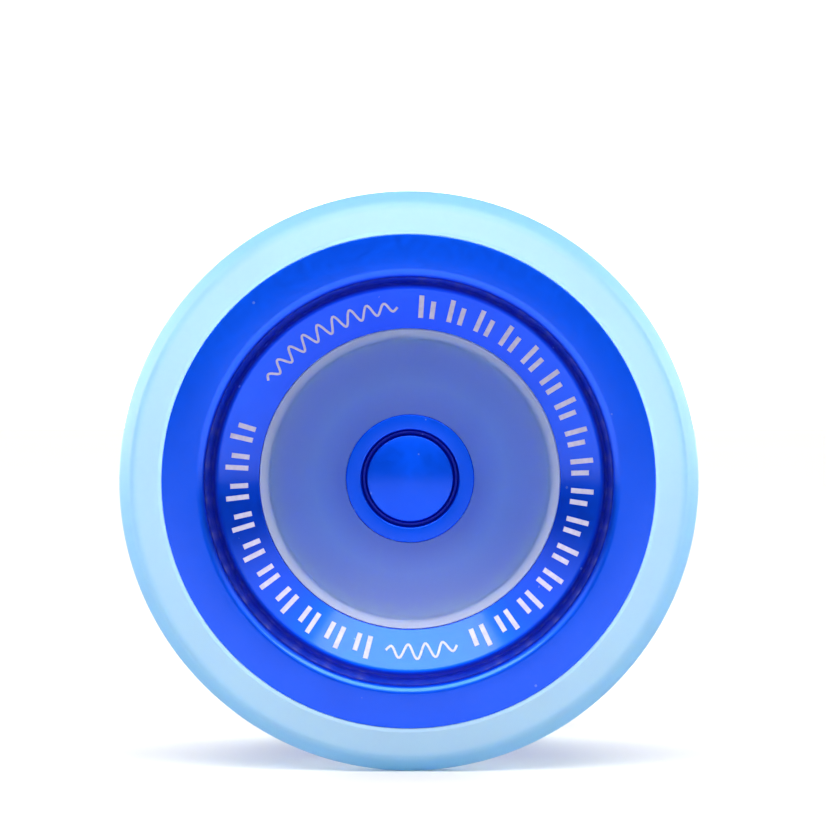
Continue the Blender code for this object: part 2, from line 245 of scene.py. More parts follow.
# Dust on the blue metal: shares, except for the scales
DUST_TONE = (0.25, 0.40, 0.85)
DUST_SCALE = 520.0
DUST_PATCH_SCALE = 260.0
DUST_SIZE = 0.075
DUST_RARITY = 0.60
DUST_STRENGTH = 0.35

# Noise: its scales count per metre. A drift follows the noise between these two of its values.
DRIFT_REACH = (0.3, 0.7)
CLOUD_REACH = (0.35, 0.65)
BLUE_CLOUD_SCALE = 90.0
BLUE_GRAIN_SCALE = 1400.0
FROST_CLOUD_SCALE = 60.0
FROST_GRAIN_SCALE = 2600.0
MARK_GRAIN_SCALE = 1800.0
SILICONE_CLOUD_SCALE = 700.0
SILICONE_GRAIN_SCALE = 2200.0
STEEL_CLOUD_SCALE = 500.0
NYLON_CLOUD_SCALE = 900.0
FLOOR_CLOUD_SCALE = 3.0

# Turning lines: the shares of their even and uneven parts, and how fast the uneven part changes
EVEN_LINES = 0.5
UNEVEN_LINES = 1.2
UNEVEN_LINES_SCALE = 6.0

# Heights of the grain and the turning lines, in metres
TURNING_HEIGHT = 0.0000012
STEEL_TURNING_HEIGHT = 0.0000008
METAL_GRAIN_HEIGHT = 0.000004
FROST_HEIGHT = 0.000006
MARK_GRAIN_HEIGHT = 0.000006
MATT_GRAIN_HEIGHT = 0.00001

# The other finishes' tones, each a pair that the finish drifts between
MARK_TONES = ((0.54, 0.52, 0.66), (0.68, 0.65, 0.78))
SILICONE_TONES = ((0.74, 0.75, 0.74), (0.84, 0.85, 0.84))
BEARING_TONES = ((0.52, 0.53, 0.54), (0.64, 0.65, 0.66))
BEARING_ROUGHNESS = 0.14
AXLE_TONES = ((0.10, 0.10, 0.105), (0.18, 0.18, 0.18))
AXLE_ROUGHNESS = 0.32
STEEL_TURNING_PITCH = 0.08
NYLON_TONES = ((0.55, 0.47, 0.30), (0.66, 0.58, 0.40))
FLOOR_TONES = ((0.72, 0.705, 0.68), (0.74, 0.725, 0.70))

# Frosted plastic: a tinted, hazy depth under a frosted skin of fine grooves
PLASTIC_IOR = 1.5
FROST_ROUGHNESS = (0.52, 0.60)
DEPTH_COLOUR = (0.0, 0.74, 1.0, 1.0)
DEPTH_DENSITY = 35.0
HAZE_COLOUR = (0.75, 0.93, 1.0, 1.0)
HAZE_DENSITY = 50.0
GROOVE_FLANK_PITCH = 0.02
GROOVE_FLANK_TILT = 0.45

# The share of light that passes through the frosted plastic, least at the cup's lip:
# (share of the rim's radius, share of the light)
CLEARNESS_BY_RADIUS = ((0.0, 0.98), (0.23, 0.99), (0.36, 0.99), (0.47, 0.98), (0.492, 0.97),
                       (0.508, 0.7), (0.53, 0.7), (0.56, 0.8), (0.8, 0.76), (0.92, 0.76), (1.0, 0.8))

# The frosted plastic's surface tones, from the hub cap over the cup's floor and lip to the rim's edge:
# its pale cyan tint with painted light and shade, darker near the hub cap, and a painted highlight
# on the cup's lip: (radius in millimetres, tone)
PLASTIC_TINT_AND_PAINTED_LIGHT = (
    (5.0, (0.34, 0.72, 1.0)),
    (7.0, (0.39, 0.76, 1.0)),
    (9.5, (0.65, 0.99, 1.0)),
    (11.5, (0.62, 0.83, 1.0)),
    (13.6, (0.62, 0.73, 1.0)),
    (14.4, (0.95, 0.95, 1.0)),
    (20.0, (0.63, 0.86, 1.0)),
    (26.1, (0.71, 0.94, 1.0)),
    (27.2, (0.39, 0.82, 1.0)),
)

# Studio: brightnesses are shares of WORLD_SCALE. The softbox is in metres, and the floor in millimetres.
WORLD_SCALE = 3.6
BACK_BRIGHTNESS = 7.6
BACK_BY_HEIGHT = ((0.0, 1.0), (0.35, 1.0), (0.7, 0.12), (1.0, 0.06))
FRONT_BY_HEIGHT = ((0.0, 0.04), (0.25, 0.08), (0.4, 0.32), (0.55, 0.34), (0.85, 0.15), (1.0, 0.1))
SIDE_SHADE = ((0.0, 0.6), (0.3, 0.6), (0.55, 1.0), (0.75, 1.0), (0.9, 0.5), (1.0, 0.3))
BEHIND_SHARE = (
    (0.0, 0.0), (0.4, 0.0), (0.5, 0.03), (0.66, 0.5), (0.8, 1.0), (0.87, 1.0), (0.94, 0.3), (1.0, 0.3))
SOFTBOX_SIZE = (0.6, 0.42)
SOFTBOX_PLACE = (0.0, -0.36, 0.43)
SOFTBOX_POWER = 4.1
FLOOR_REACH = 3000.0

# Camera: metres, and the lens in millimetres
CAMERA_DISTANCE = 0.4225
CAMERA_AZIMUTH = math.radians(0.68)
CAMERA_ELEVATION = math.radians(1.28)
CAMERA_LENS = 181.3
CAMERA_SENSOR = 36.0
CAMERA_SHIFT = (0.0022, 0.0767)
CAMERA_CLIP_START = 0.01

# Light has to pass through both walls of the shells, and between the ring's polished walls.
LIGHT_BOUNCES = 24
DIFFUSE_BOUNCES = 8
VOLUME_BOUNCES = 6


# ---------------------------------------------------------------- shapes

def rounded(corners, arc_step=FINE_ARC):
    """An outline from (radius, depth) corners; a third number rounds the corner off by that radius."""
    points = []
    for index, corner in enumerate(corners):
        here = Vector(corner[:2])
        if len(corner) == 2:
            points.append(here)
            continue
        before = (Vector(corners[index - 1][:2]) - here).normalized()
        after = (Vector(corners[(index + 1) % len(corners)][:2]) - here).normalized()
        half = before.angle(after) / 2
        centre = here + (before + after).normalized() * corner[2] / math.sin(half)
        start = here + before * corner[2] / math.tan(half) - centre
        end = here + after * corner[2] / math.tan(half) - centre
        turn = start.angle_signed(end)
        steps = max(2, math.ceil(abs(turn) / arc_step))
        for step in range(steps + 1):
            points.append(centre + Matrix.Rotation(-turn * step / steps, 2) @ start)
    return points


def arc(centre, radius, start_deg, end_deg, steps):
    """Points on a circle about centre, where 0 degrees is outwards and 90 degrees is deeper."""
    points = []
    for step in range(steps + 1):
        angle = math.radians(start_deg + (end_deg - start_deg) * step / steps)
        points.append((centre[0] + radius * math.cos(angle), centre[1] + radius * math.sin(angle)))
    return points


def piece_from(name, bm, finish):
    """A smooth object, in metres, from a mesh in millimetres, which is used up."""
    bmesh.ops.scale(bm, vec=(MM, MM, MM), verts=bm.verts)
    bmesh.ops.recalc_face_normals(bm, faces=bm.faces)
    mesh = bpy.data.meshes.new(name)
    bm.to_mesh(mesh)
    bm.free()
    mesh.shade_smooth()
    mesh.set_sharp_from_angle(angle=SHARP_ANGLE)
    mesh.materials.append(finish)
    obj = bpy.data.objects.new(name, mesh)
    bpy.context.scene.collection.objects.link(obj)
    return obj


def join_rows(bm, rows):
    """Joins closed rows of vertices, one after another, into a solid with a cap at each end."""
    for one, two in zip(rows, rows[1:]):
        for step in range(len(one)):
            after = (step + 1) % len(one)
            bm.faces.new((one[step], one[after], two[after], two[step]))
    bm.faces.new(rows[0])
    bm.faces.new(rows[-1])


def turned(name, finish, points, side=1, segments=SEGMENTS):
    """An outline of (radius, depth) spun about Y. It is closed, or it starts and ends on the axis."""
    bm = bmesh.new()
    rings = []
    for radius, depth in points:
        if radius < ON_AXIS:
            rings.append([bm.verts.new((0, side * depth, 0))])
            continue
        angles = [2 * math.pi * step / segments for step in range(segments)]
        rings.append([
            bm.verts.new((radius * math.sin(a), side * depth, radius * math.cos(a))) for a in angles
        ])
    pairs = list(zip(rings, rings[1:]))
    if len(rings[0]) > 1:
        pairs.append((rings[-1], rings[0]))
    for one, two in pairs:
        for step in range(segments):
            after = (step + 1) % segments
            corners = [one[step % len(one)], one[after % len(one)]]
            corners += [two[after % len(two)], two[step % len(two)]]
            bm.faces.new(dict.fromkeys(corners))
    return piece_from(name, bm, finish)


def add(obj, body, slot, *nodes):
    """Hands a piece to its body, in place of the CAD nodes that it stands for. The slot is not used."""
    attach(obj, body)
    if nodes:
        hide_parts(*nodes)
    return obj


def cup_floor():
    """The cup's floor, a shallow bowl that rises from the hub cap to its edge."""
    start, end = (HUB_RADIUS + FIT, HUB_FACE), CUP_FLOOR_EDGE
    points = []
    for step in range(CUP_FLOOR_STEPS):
        share = step / CUP_FLOOR_STEPS
        radius = start[0] + share * (end[0] - start[0])
        points.append((radius, start[1] + share**2 * (end[1] - start[1])))
    return points


def dish_back(clearance=0.0):
    """The hidden side of the ring's dish, or of the shell's seat for it with a clearance."""
    back = DISH_THICKNESS + 2 * clearance
    return [
        (DISH_EDGE[0] - clearance, DISH_EDGE[1] - back),
        (RING_WALL_FOOT[0] + DISH_BACK_CORNER[0], RING_WALL_FOOT[1] - back + DISH_BACK_CORNER[1]),
    ]


def skirt(gap=0.0):
    """Tip, back edge and root of the core's skirt, or of the shell's seat for it with a gap."""
    foot = Vector((CATCH_ZONE_START, GAP_FACE))
    along = (Vector(CATCH_ZONE_BEND) - foot).normalized()
    back = foot + Vector((-along.y, along.x)) * (SKIRT_THICKNESS + gap)
    reach = SKIRT_LENGTH + gap
    root = back + along * ((CORE_PLATE_BACK + gap - back.y) / along.y)
    return [foot + along * reach, back + along * reach, root]


def shell_outline():
    barrel_hole = HUB_BARREL_RADIUS + FIT
    flange_seat = HUB_FACE - HUB_FLANGE - FIT
    return rounded([
        (FACE_BAND_INNER, RIM_FACE, FACE_INNER_ROUND),
        (FACE_BAND_OUTER, RIM_FACE, FACE_OUTER_ROUND),
        (RIM_RADIUS, RIM_SIDE[0], RIM_SIDE_ROUNDS[0]),
        (RIM_RADIUS, RIM_SIDE[1], RIM_SIDE_ROUNDS[1]),
        (*CATCH_ZONE_END, CATCH_ZONE_END_ROUND),
        (*CATCH_ZONE_BEND, CATCH_ZONE_BEND_ROUND),
        *skirt(FIT),
        (BOSS_RADIUS + FIT, CORE_PLATE_BACK + FIT),
        (BOSS_RADIUS + FIT, CORE_BACK + FIT),
        (barrel_hole, CORE_BACK + FIT),
        (barrel_hole, flange_seat),
        (HUB_RADIUS + FIT, flange_seat),
        *cup_floor(),
        (*CUP_FLOOR_EDGE, CUP_FOOT_ROUND),
        (DISH_EDGE[0] - FIT, DISH_EDGE[1] - CUP_LIP_DROP, CUP_LIP_ROUND),
        *dish_back(FIT),
        (RING_RADIUS + FIT, RING_BACK - 2 * FIT),
        (RING_RADIUS + FIT, RING_FACE),
    ])


def ring_outline():
    return rounded([
        (RING_RADIUS, RING_FACE, RING_EDGE_ROUND),
        (RING_WALL_RADIUS, RING_FACE, RING_SHOULDER_ROUND),
        (*RING_WALL_FOOT, RING_FOOT_ROUND),
        (*DISH_EDGE, DISH_EDGE_ROUND),
        *dish_back(),
        (RING_RADIUS, RING_BACK, RING_BACK_ROUND),
    ])


def hub_outline():
    floor = HUB_FACE - HUB_GROOVE_DEPTH
    inner, outer = HUB_GROOVE
    bore = STEM_RADIUS + FIT
    dome = []
    for step in range(DOME_STEPS):
        radius = inner * step / DOME_STEPS
        rise = (DOME_HEIGHT + DOME_EDGE_DROP) * (1 - (radius / inner) ** 2)
        dome.append((radius, HUB_FACE - DOME_EDGE_DROP + rise))
    rest = rounded([
        (0.0, HUB_FACE + DOME_HEIGHT),
        (inner - HUB_GROOVE_LIP, HUB_FACE - DOME_EDGE_DROP, HUB_GROOVE_LIP_ROUND),
        (inner + HUB_GROOVE_FOOT, floor, HUB_GROOVE_FOOT_ROUND),
        (outer - HUB_GROOVE_FOOT, floor, HUB_GROOVE_FOOT_ROUND),
        (outer + HUB_GROOVE_LIP, HUB_FACE, HUB_GROOVE_LIP_ROUND),
        (HUB_RADIUS, HUB_FACE, HUB_EDGE_ROUND),
        (HUB_RADIUS, HUB_FACE - HUB_FLANGE),
        (HUB_BARREL_RADIUS, HUB_FACE - HUB_FLANGE),
        (HUB_BARREL_RADIUS, HUB_BARREL_END),
        (bore, HUB_BARREL_END),
        (bore, STEM_END + FIT),
        (0.0, STEM_END + FIT),
    ])
    return dome + rest[1:]


def core_outline():
    floor = GAP_FACE + PAD_THICKNESS + FIT
    return rounded([
        (0.0, AXLE_BORE_END),
        (AXLE_BORE_RADIUS, AXLE_BORE_END),
        (AXLE_BORE_RADIUS, POST_END),
        (POST_RADIUS, POST_END, POST_ROUND),
        (POST_RADIUS, BEARING_SHOULDER[1]),
        BEARING_SHOULDER,
        (BEARING_SHOULDER[0], BEARING_RECESS[1]),
        (*BEARING_RECESS, BEARING_RECESS_ROUNDS[0]),
        (BEARING_RECESS[0], GAP_FACE, BEARING_RECESS_ROUNDS[1]),
        (PAD[0] - FIT, GAP_FACE, PAD_SEAT_ROUND),
        (PAD[0] - FIT, floor),
        (PAD[1] + FIT, floor),
        (PAD[1] + FIT, GAP_FACE, PAD_SEAT_ROUND),
        (CATCH_ZONE_START, GAP_FACE, CATCH_ZONE_START_ROUND),
        *skirt(),
        (BOSS_RADIUS, CORE_PLATE_BACK),
        (BOSS_RADIUS, CORE_BACK, BOSS_ROUND),
        (STEM_RADIUS, CORE_BACK),
        (STEM_RADIUS, STEM_END),
        (0.0, STEM_END),
    ])


def pad_outline():
    face = GAP_FACE + RUNNING_FIT
    back = GAP_FACE + PAD_THICKNESS
    inner, outer = PAD
    return rounded([
        (outer, face, PAD_ROUND),
        (outer, back),
        (inner, back),
        (inner, face, PAD_ROUND),
    ])


def dish_point(radius, angle, height, side):
    """A point over the weight ring's dish. The angle runs clockwise from the top, seen from outside."""
    slope = Vector(RING_WALL_FOOT) - Vector(DISH_EDGE)
    normal = Vector((-slope.y, slope.x)).normalized()
    share = (radius - DISH_EDGE[0]) / slope.x
    place = Vector(DISH_EDGE) + slope * share + normal * height
    across = -side * place.x * math.sin(angle)
    return Vector((across, side * place.y, place.x * math.cos(angle)))


def stroke(bm, path, width, side):
    """A thin raised strip along a path of (radius, angle) over the dish, as a closed solid."""
    rows = []
    for index, (radius, angle) in enumerate(path):
        before = path[max(index - 1, 0)]
        after = path[min(index + 1, len(path) - 1)]
        along = Vector((after[0] - before[0], radius * (after[1] - before[1]))).normalized()
        across = Vector((-along.y, along.x)) * width / 2
        row = []
        for way, height in ((1, MARK_HEIGHT), (-1, MARK_HEIGHT), (-1, -MARK_HEIGHT), (1, -MARK_HEIGHT)):
            place = (radius + way * across.x, angle + way * across.y / radius)
            row.append(bm.verts.new(dish_point(*place, height, side)))
        rows.append(row)
    join_rows(bm, rows)


def tick_marks(name, side, finish):
    """Runs of tick marks: each pair is a long mark and a shorter one."""
    bm = bmesh.new()
    for first, last in MARK_RUNS:
        for slot_index in range(first, last):
            angle = MARK_FIRST + slot_index * MARK_PITCH
            for turn, outer in ((angle, MARK_LONG_OUTER), (angle + MARK_PAIR_GAP, MARK_SHORT_OUTER)):
                reach = outer - MARK_INNER
                path = [(MARK_INNER + reach * step / MARK_STEPS, turn) for step in range(MARK_STEPS + 1)]
                stroke(bm, path, MARK_WIDTH, side)
    return piece_from(name, bm, finish)


def wave_marks(name, side, finish):
    """Two plain wavy lines, where the dish has no tick marks."""
    bm = bmesh.new()
    for start, end, count in WAVES:
        steps = count * STEPS_PER_WAVE
        path = []
        for step in range(steps + 1):
            share = step / steps
            taper = math.sin(math.pi * share) ** WAVE_TAPER
            height = WAVE_HEIGHT * math.sin(2 * math.pi * count * share) * taper
            path.append((WAVE_RADIUS + height, start + share * (end - start)))
        stroke(bm, path, WAVE_STROKE, side)
    return piece_from(name, bm, finish)


# ---------------------------------------------------------------- bearing and axle

def race_edge(radius):
    """How far from the middle plane the balls' race meets a land of this radius."""
    return math.sqrt(RACE_RADIUS**2 - (PITCH_RADIUS - radius) ** 2)


def inner_ring_outline():
    edge = race_edge(INNER_RING_RADIUS)
    race = arc((PITCH_RADIUS, 0), RACE_RADIUS, *INNER_RACE_DEGREES, RACE_STEPS)
    width = BEARING_HALF_WIDTH
    return rounded([
        (BEARING_BORE, width, BEARING_BORE_ROUND),
        (INNER_RING_RADIUS, width, INNER_RING_ROUND),
        (INNER_RING_RADIUS, edge),
        *[point for point in race if point[0] < INNER_RING_RADIUS],
        (INNER_RING_RADIUS, -edge),
        (INNER_RING_RADIUS, -width, INNER_RING_ROUND),
        (BEARING_BORE, -width, BEARING_BORE_ROUND),
    ])


def outer_ring_outline():
    reach = RACE_RADIUS + OUTER_RACE_CLEARANCE
    race = arc((PITCH_RADIUS, 0), reach, *OUTER_RACE_DEGREES, RACE_STEPS)
    edge = race_edge(OUTER_RING_BORE)
    width = BEARING_HALF_WIDTH
    groove = []
    for step in range(-STRING_GROOVE_HALF_STEPS, STRING_GROOVE_HALF_STEPS + 1):
        place = -step / STRING_GROOVE_HALF_STEPS
        depth = STRING_GROOVE_DEPTH * math.cos(place * math.pi / 2)
        groove.append((BEARING_RADIUS - depth, STRING_GROOVE_HALF_WIDTH * place))
    return rounded([
        (BEARING_RADIUS, width, OUTER_RING_ROUND),
        *groove,
        (BEARING_RADIUS, -width, OUTER_RING_ROUND),
        (SHIELD_SEAT[0], -width),
        (SHIELD_SEAT[0], -SHIELD_SEAT[1]),
        (OUTER_RING_BORE, -SHIELD_SEAT[1]),
        (OUTER_RING_BORE, -edge),
        *[point for point in race if point[0] > OUTER_RING_BORE],
        (OUTER_RING_BORE, edge),
        (OUTER_RING_BORE, SHIELD_SEAT[1]),
        SHIELD_SEAT,
        (SHIELD_SEAT[0], width),
    ])


def shield_outline():
    back = SHIELD_SEAT[1] + SHIELD_BACK_GAP
    face = back + SHIELD_THICKNESS
    inner_face = face - SHIELD_STEP_DEPTH
    return rounded([
        (SHIELD[0], back),
        (SHIELD[1], back),
        (SHIELD[1], face, SHIELD_ROUND),
        (SHIELD_STEP[1], face, SHIELD_STEP_ROUND),
        (SHIELD_STEP[0], inner_face, SHIELD_STEP_ROUND),
        (SHIELD[0], inner_face, SHIELD_ROUND),
    ])


def snap_ring(name, side, finish):
    """A round wire, open at the top, that holds a shield in the outer ring."""
    steps, corners = 120, 12
    bm = bmesh.new()
    depth = side * (SHIELD_SEAT[1] + SHIELD_THICKNESS + SNAP_RING_WIRE + RUNNING_FIT)
    radius = SHIELD_SEAT[0] - SNAP_RING_WIRE - RUNNING_FIT
    rows = []
    for step in range(steps + 1):
        angle = SNAP_RING_OPENING / 2 + (2 * math.pi - SNAP_RING_OPENING) * step / steps
        row = []
        for around in range(corners):
            turn = 2 * math.pi * around / corners
            reach = radius + SNAP_RING_WIRE * math.cos(turn)
            along = depth + SNAP_RING_WIRE * math.sin(turn)
            row.append(bm.verts.new((reach * math.sin(angle), along, reach * math.cos(angle))))
        rows.append(row)
    join_rows(bm, rows)
    return piece_from(name, bm, finish)


def ball(name, index, finish):
    bm = bmesh.new()
    across, along = BALL_SEGMENTS
    bmesh.ops.create_uvsphere(bm, u_segments=across, v_segments=along, radius=BALL_RADIUS)
    angle = 2 * math.pi * index / BALL_COUNT
    place = Vector((math.sin(angle), 0, math.cos(angle))) * PITCH_RADIUS
    bmesh.ops.translate(bm, vec=place, verts=bm.verts)
    return piece_from(name, bm, finish)


def axle(name, finish):
    """A set screw: a grid of rows along the thread, closed by a hexagon socket in each end."""
    around, per_pitch = 48, 12
    count = int(AXLE_LENGTH / THREAD_PITCH * per_pitch)
    end = AXLE_LENGTH / 2
    bm = bmesh.new()

    def row(along, reach):
        verts = []
        for step in range(around):
            angle = 2 * math.pi * step / around
            radius = reach(along, angle)
            verts.append(bm.verts.new((radius * math.sin(angle), along, radius * math.cos(angle))))
        return verts

    def thread(along, angle):
        phase = (along / THREAD_PITCH - angle / (2 * math.pi)) % 1
        share = THREAD_STEEPNESS * abs(2 * phase - 1) - THREAD_ROOT_FLAT
        radius = THREAD_RADIUS - THREAD_DEPTH * min(1, max(0, share))
        return min(radius, THREAD_RADIUS - THREAD_END_TAPER + (end - abs(along)))

    def hexagon(along, angle):
        turn = (angle + math.pi / 6) % (math.pi / 3) - math.pi / 6
        return SOCKET_ACROSS_FLATS / 2 / math.cos(turn)

    def round_bottom(along, angle):
        return SOCKET_TIP_RADIUS

    floor = end - SOCKET_DEPTH
    tip = floor + SOCKET_TIP
    rows = [row(-tip, round_bottom), row(-floor, hexagon), row(-end, hexagon)]
    rows += [row(-end + AXLE_LENGTH * step / count, thread) for step in range(count + 1)]
    rows += [row(end, hexagon), row(floor, hexagon), row(tip, round_bottom)]
    join_rows(bm, rows)
    return piece_from(name, bm, finish)


# ---------------------------------------------------------------- materials

def ramp(tree, value, low, high, stops):
    """A smooth curve over a value from low to high: stops are (share of the way, result)."""
    span = tree.nodes.new("ShaderNodeMapRange")
    span.inputs[1].default_value = low
    span.inputs[2].default_value = high
    tree.links.new(value, span.inputs[0])
    curve = tree.nodes.new("ShaderNodeFloatCurve")
    points = curve.mapping.curves[0].points
    for index, stop in enumerate(stops):
        if index >= len(points):
            points.new(*stop)
        points[index].location = stop
    curve.mapping.update()
    tree.links.new(span.outputs[0], curve.inputs["Value"])
    return curve.outputs[0]


class Nodes:
    """A short way to write a material's nodes."""

    def __init__(self, name):
        self.material = bpy.data.materials.new(name)
        self.material.use_nodes = True
        self.tree = self.material.node_tree
        self.shader = self.tree.nodes["Principled BSDF"]
        self.output = self.tree.nodes["Material Output"]

    def make(self, kind, **values):
        node = self.tree.nodes.new(kind)
        for key, value in values.items():
            if key in node.inputs:
                node.inputs[key].default_value = value
            else:
                setattr(node, key, value)
        return node

    def join(self, source, target):
        self.tree.links.new(source, target)

    def put(self, **values):
        for key, value in values.items():
            self.shader.inputs[key.replace("_", " ")].default_value = value

    def place(self):
        return self.make("ShaderNodeTexCoord").outputs["Object"]

    def noise(self, scale, detail=2.0):
        node = self.make("ShaderNodeTexNoise", Scale=scale, Detail=detail)
        self.join(self.place(), node.inputs["Vector"])
        return node.outputs["Fac"]

    def span(self, value, low_in, high_in, low, high):
        node = self.make("ShaderNodeMapRange")
        for index, number in enumerate((low_in, high_in, low, high)):
            node.inputs[index + 1].default_value = number
        self.join(value, node.inputs[0])
        return node.outputs[0]

    def maths(self, operation, one, two=None):
        node = self.make("ShaderNodeMath", operation=operation)
        for index, value in enumerate((one, two)):
            if value is None:
                continue
            if isinstance(value, (int, float)):
                node.inputs[index].default_value = value
            else:
                self.join(value, node.inputs[index])
        return node.outputs[0]

    def blend(self, share, one, two):
        node = self.make("ShaderNodeMix", data_type="RGBA")
        self.join(share, node.inputs[0])
        for socket, value in ((6, one), (7, two)):
            if isinstance(value, tuple):
                node.inputs[socket].default_value = (*value, 1)
            else:
                self.join(value, node.inputs[socket])
        return node.outputs[2]

    def radius(self):
        """The distance from the axle, in millimetres."""
        split = self.make("ShaderNodeSeparateXYZ")
        self.join(self.place(), split.inputs[0])
        x, z = (self.maths("MULTIPLY", split.outputs[i], 1 / MM) for i in (0, 2))
        squares = self.maths("MULTIPLY", x, x), self.maths("MULTIPLY", z, z)
        return self.maths("SQRT", self.maths("ADD", *squares))

    def tones_by_radius(self, stops):
        """A tone that changes with the distance from the axle: stops are (millimetres, tone)."""
        node = self.make("ShaderNodeValToRGB")
        self.join(self.span(self.radius(), 0.0, RIM_RADIUS, 0.0, 1.0), node.inputs[0])
        elements = node.color_ramp.elements
        elements.remove(elements[-1])
        for index, (radius, tone) in enumerate(stops):
            place = radius / RIM_RADIUS
            element = elements.new(place) if index else elements[0]
            element.position = place
            element.color = (*tone, 1.0)
        return node.outputs["Color"]

    def drift(self, noise, low, high):
        """A number that drifts between two, as the noise does."""
        return self.span(noise, *DRIFT_REACH, low, high)

    def cloudy(self, noise, tones):
        """A tone that drifts between two, in soft clouds."""
        return self.blend(self.span(noise, *CLOUD_REACH, 0.0, 1.0), *tones)

    def turned_tangent(self):
        """Grain that runs round the axle."""
        tangent = self.make("ShaderNodeTangent", direction_type="RADIAL", axis="Y")
        self.join(tangent.outputs[0], self.shader.inputs["Tangent"])

    def bump(self, height, distance, under=None):
        """Bumps of a height in metres, on top of another normal where one is given."""
        node = self.make("ShaderNodeBump", Strength=1.0, Distance=distance)
        self.join(height, node.inputs["Height"])
        if under is not None:
            self.join(under, node.inputs["Normal"])
        return node.outputs["Normal"]


def turning_lines(mat, pitch, depth):
    """The normal of fine grooves left by a lathe: the pitch is in millimetres, the depth in metres."""
    radius = mat.radius()
    even = mat.maths("SINE", mat.maths("MULTIPLY", radius, 2 * math.pi / pitch))
    band = mat.make("ShaderNodeTexNoise", noise_dimensions="1D", Scale=UNEVEN_LINES_SCALE)
    band.inputs["Detail"].default_value = 3.0
    mat.join(radius, band.inputs["W"])
    uneven = mat.maths("MULTIPLY", band.outputs["Fac"], UNEVEN_LINES)
    height = mat.maths("ADD", mat.maths("MULTIPLY", even, EVEN_LINES), uneven)
    return mat.bump(height, depth)


def groove_flanks(mat):
    """The normal, tilted to and fro along the radius as it is on the flanks of fine turned grooves."""
    flat = mat.make("ShaderNodeVectorMath", operation="MULTIPLY")
    flat.inputs[1].default_value = (1.0, 0.0, 1.0)
    mat.join(mat.place(), flat.inputs[0])
    outwards = mat.make("ShaderNodeVectorTransform", vector_type="VECTOR")
    outwards.convert_from = "OBJECT"
    outwards.convert_to = "WORLD"
    mat.join(flat.outputs[0], outwards.inputs[0])
    unit = mat.make("ShaderNodeVectorMath", operation="NORMALIZE")
    mat.join(outwards.outputs[0], unit.inputs[0])
    lean = mat.make("ShaderNodeVectorMath", operation="SCALE")
    mat.join(unit.outputs[0], lean.inputs[0])
    wave = mat.maths("SINE", mat.maths("MULTIPLY", mat.radius(), 2 * math.pi / GROOVE_FLANK_PITCH))
    mat.join(mat.maths("MULTIPLY", wave, GROOVE_FLANK_TILT), lean.inputs["Scale"])
    total = mat.make("ShaderNodeVectorMath", operation="ADD")
    mat.join(mat.make("ShaderNodeNewGeometry").outputs["Normal"], total.inputs[0])
    mat.join(lean.outputs[0], total.inputs[1])
    unit = mat.make("ShaderNodeVectorMath", operation="NORMALIZE")
    mat.join(total.outputs[0], unit.inputs[0])
    return unit.outputs[0]


def anodised(name, look, corner=None):
    """Blue anodised aluminium over fine turning lines, with faint dust, and painted shade in a corner.
    """
    blue, anisotropy, roughness, coat = look
    mat = Nodes(name)
    mat.put(Metallic=1.0, Anisotropic=anisotropy, Anisotropic_Rotation=RADIAL_GRAIN)
    mat.put(Coat_Weight=coat, Coat_Roughness=METAL_COAT_ROUGHNESS, Coat_IOR=METAL_COAT_IOR)
    paler = tuple(min(1.0, share * part) for share, part in zip(PALER_BLUE, blue))
    tone = mat.cloudy(mat.noise(BLUE_CLOUD_SCALE, detail=3.0), (blue, paler))
    speck = mat.make("ShaderNodeTexVoronoi", Scale=DUST_SCALE, feature="F1")
    mat.join(mat.place(), speck.inputs["Vector"])
    sparse = mat.maths("LESS_THAN", speck.outputs["Distance"], DUST_SIZE)
    rare = mat.maths("GREATER_THAN", mat.noise(DUST_PATCH_SCALE, detail=1.0), DUST_RARITY)
    dust = mat.maths("MULTIPLY", mat.maths("MULTIPLY", sparse, rare), DUST_STRENGTH)
    # Painted shade: between the corner's two radii the blue turns darker, as if the corner kept the
    # light out.
    if corner:
        (inner, outer), (wide, narrow) = corner, PAINTED_SHADE_SOFTNESS
        falling = mat.span(mat.radius(), inner - wide, inner + wide, 1.0, 0.0)
        rising = mat.span(mat.radius(), outer - narrow, outer + narrow, 0.0, 1.0)
        tone = mat.blend(mat.maths("MAXIMUM", falling, rising), CORNER_PAINTED_SHADE, tone)
    mat.join(mat.blend(dust, tone, DUST_TONE), mat.shader.inputs["Base Color"])
    grain = mat.noise(BLUE_GRAIN_SCALE)
    uneven = mat.drift(grain, *[roughness + change for change in ROUGHNESS_DRIFT])
    mat.join(uneven, mat.shader.inputs["Roughness"])
    mat.turned_tangent()
    lines = turning_lines(mat, TURNING_PITCH, TURNING_HEIGHT)
    mat.join(mat.bump(grain, METAL_GRAIN_HEIGHT, lines), mat.shader.inputs["Normal"])
    return mat.material


